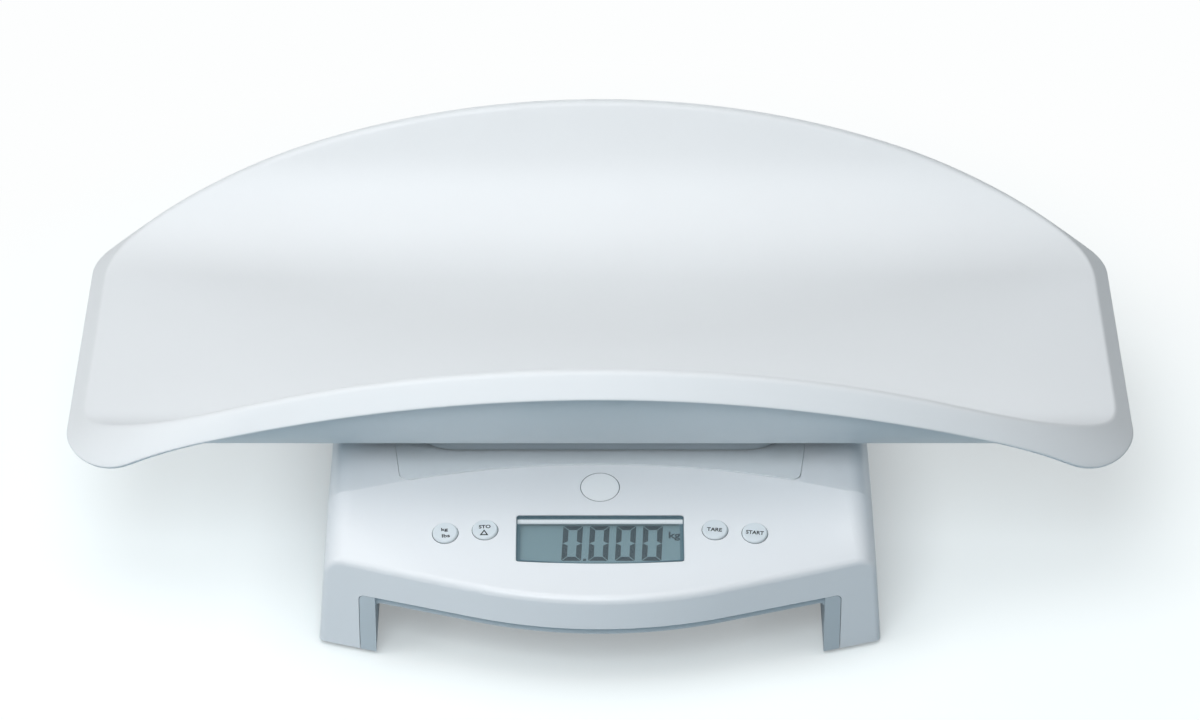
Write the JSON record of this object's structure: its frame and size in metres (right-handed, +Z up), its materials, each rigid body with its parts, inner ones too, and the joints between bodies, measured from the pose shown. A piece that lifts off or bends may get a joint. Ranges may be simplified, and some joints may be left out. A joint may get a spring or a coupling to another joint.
{
  "type": "digital baby weighing scale",
  "caption": "Low electronic baby scale with a wide curved lift-off tray, a sloping panel with a display, round keys and a tray release button, on an arched base.",
  "frame": {"origin": "centre of the bounding box at the level of the feet, on the floor", "axes": "+X along the tray to the right as seen from the control panel, +Y away from the panel to the back, +Z up"},
  "size_m": [0.5522, 0.3354, 0.1571],
  "materials": {
    "shell_white": "smooth white moulded plastic",
    "shell_grey": "light grey moulded plastic",
    "keys_grey": "pale blue grey moulded plastic",
    "clear_window": "clear display window",
    "display_glass": "grey green liquid crystal glass",
    "inner_plastic": "dark inner plastic",
    "conductive_rubber": "striped contact rubber",
    "circuit_board": "green circuit board",
    "steel": "plated steel",
    "aluminium": "machined aluminium",
    "foot_rubber": "soft dark rubber"
  },
  "bodies": {
    "base": {"housing_top": "shell_white", "platform_plate": "shell_grey", "display_window": "clear_window", "base_bottom": "shell_grey", "case_screws": "steel", "load_cell_front_left": "aluminium", "foot_post_front_left": "steel", "foot_pad_front_left": "foot_rubber", "load_cell_front_right": "aluminium", "foot_post_front_right": "steel", "foot_pad_front_right": "foot_rubber", "load_cell_back_left": "aluminium", "foot_post_back_left": "steel", "foot_pad_back_left": "foot_rubber", "load_cell_back_right": "aluminium", "foot_post_back_right": "steel", "foot_pad_back_right": "foot_rubber", "battery_cells": "steel", "battery_contacts": "steel", "lcd_glass": "display_glass", "lcd_frame": "inner_plastic", "contact_strip_front": "conductive_rubber", "contact_strip_back": "conductive_rubber", "main_board": "circuit_board", "key_board_left": "circuit_board", "key_switches_left": "inner_plastic", "key_board_right": "circuit_board", "key_switches_right": "inner_plastic", "button_spring": "steel", "latch_spring": "steel"},
    "tray": {"tray_shell": "shell_white", "tray_underpan": "shell_white", "tray_saddle": "shell_grey", "tray_keeper": "steel", "tray_screws": "steel"},
    "door": {"battery_door": "shell_grey"},
    "button": {"release_button": "keys_grey"},
    "latch": {"latch_slide": "inner_plastic"},
    "key_left_outer_body": {"key_left_outer": "keys_grey"},
    "key_left_inner_body": {"key_left_inner": "keys_grey"},
    "key_right_inner_body": {"key_right_inner": "keys_grey"},
    "key_right_outer_body": {"key_right_outer": "keys_grey"}
  },
  "joints": [
    {"name": "tray_lift", "type": "slide", "parent": "base", "child": "tray", "axis": [0, 0, 1], "range_m": [0, 0.08]},
    {"name": "key_left_outer_press", "type": "slide", "parent": "base", "child": "key_left_outer_body", "axis": [0.0215, 0.2917, -0.9563], "range_m": [0, 0.0008], "stiffness_N_per_m": 600},
    {"name": "key_left_inner_press", "type": "slide", "parent": "base", "child": "key_left_inner_body", "axis": [0.0175, 0.2539, -0.9671], "range_m": [0, 0.0008], "stiffness_N_per_m": 600},
    {"name": "key_right_inner_press", "type": "slide", "parent": "base", "child": "key_right_inner_body", "axis": [-0.0175, 0.2539, -0.9671], "range_m": [0, 0.0008], "stiffness_N_per_m": 600},
    {"name": "key_right_outer_press", "type": "slide", "parent": "base", "child": "key_right_outer_body", "axis": [-0.0215, 0.2917, -0.9563], "range_m": [0, 0.0008], "stiffness_N_per_m": 600},
    {"name": "release_press", "type": "slide", "parent": "base", "child": "button", "axis": [0, 0.2177, -0.976], "range_m": [0, 0.003], "stiffness_N_per_m": 400, "deforming": ["button_spring"]},
    {"name": "latch_draw", "type": "slide", "parent": "base", "child": "latch", "axis": [0, -1, 0], "range_m": [0, 0.0024], "deforming": ["latch_spring"]},
    {"name": "door_slide", "type": "slide", "parent": "base", "child": "door", "axis": [0, 1, 0], "range_m": [0, 0.04]}
  ],
  "couplings": [
    {"joint": "latch_draw", "follows": "release_press", "ratio": 0.75828}
  ]
}
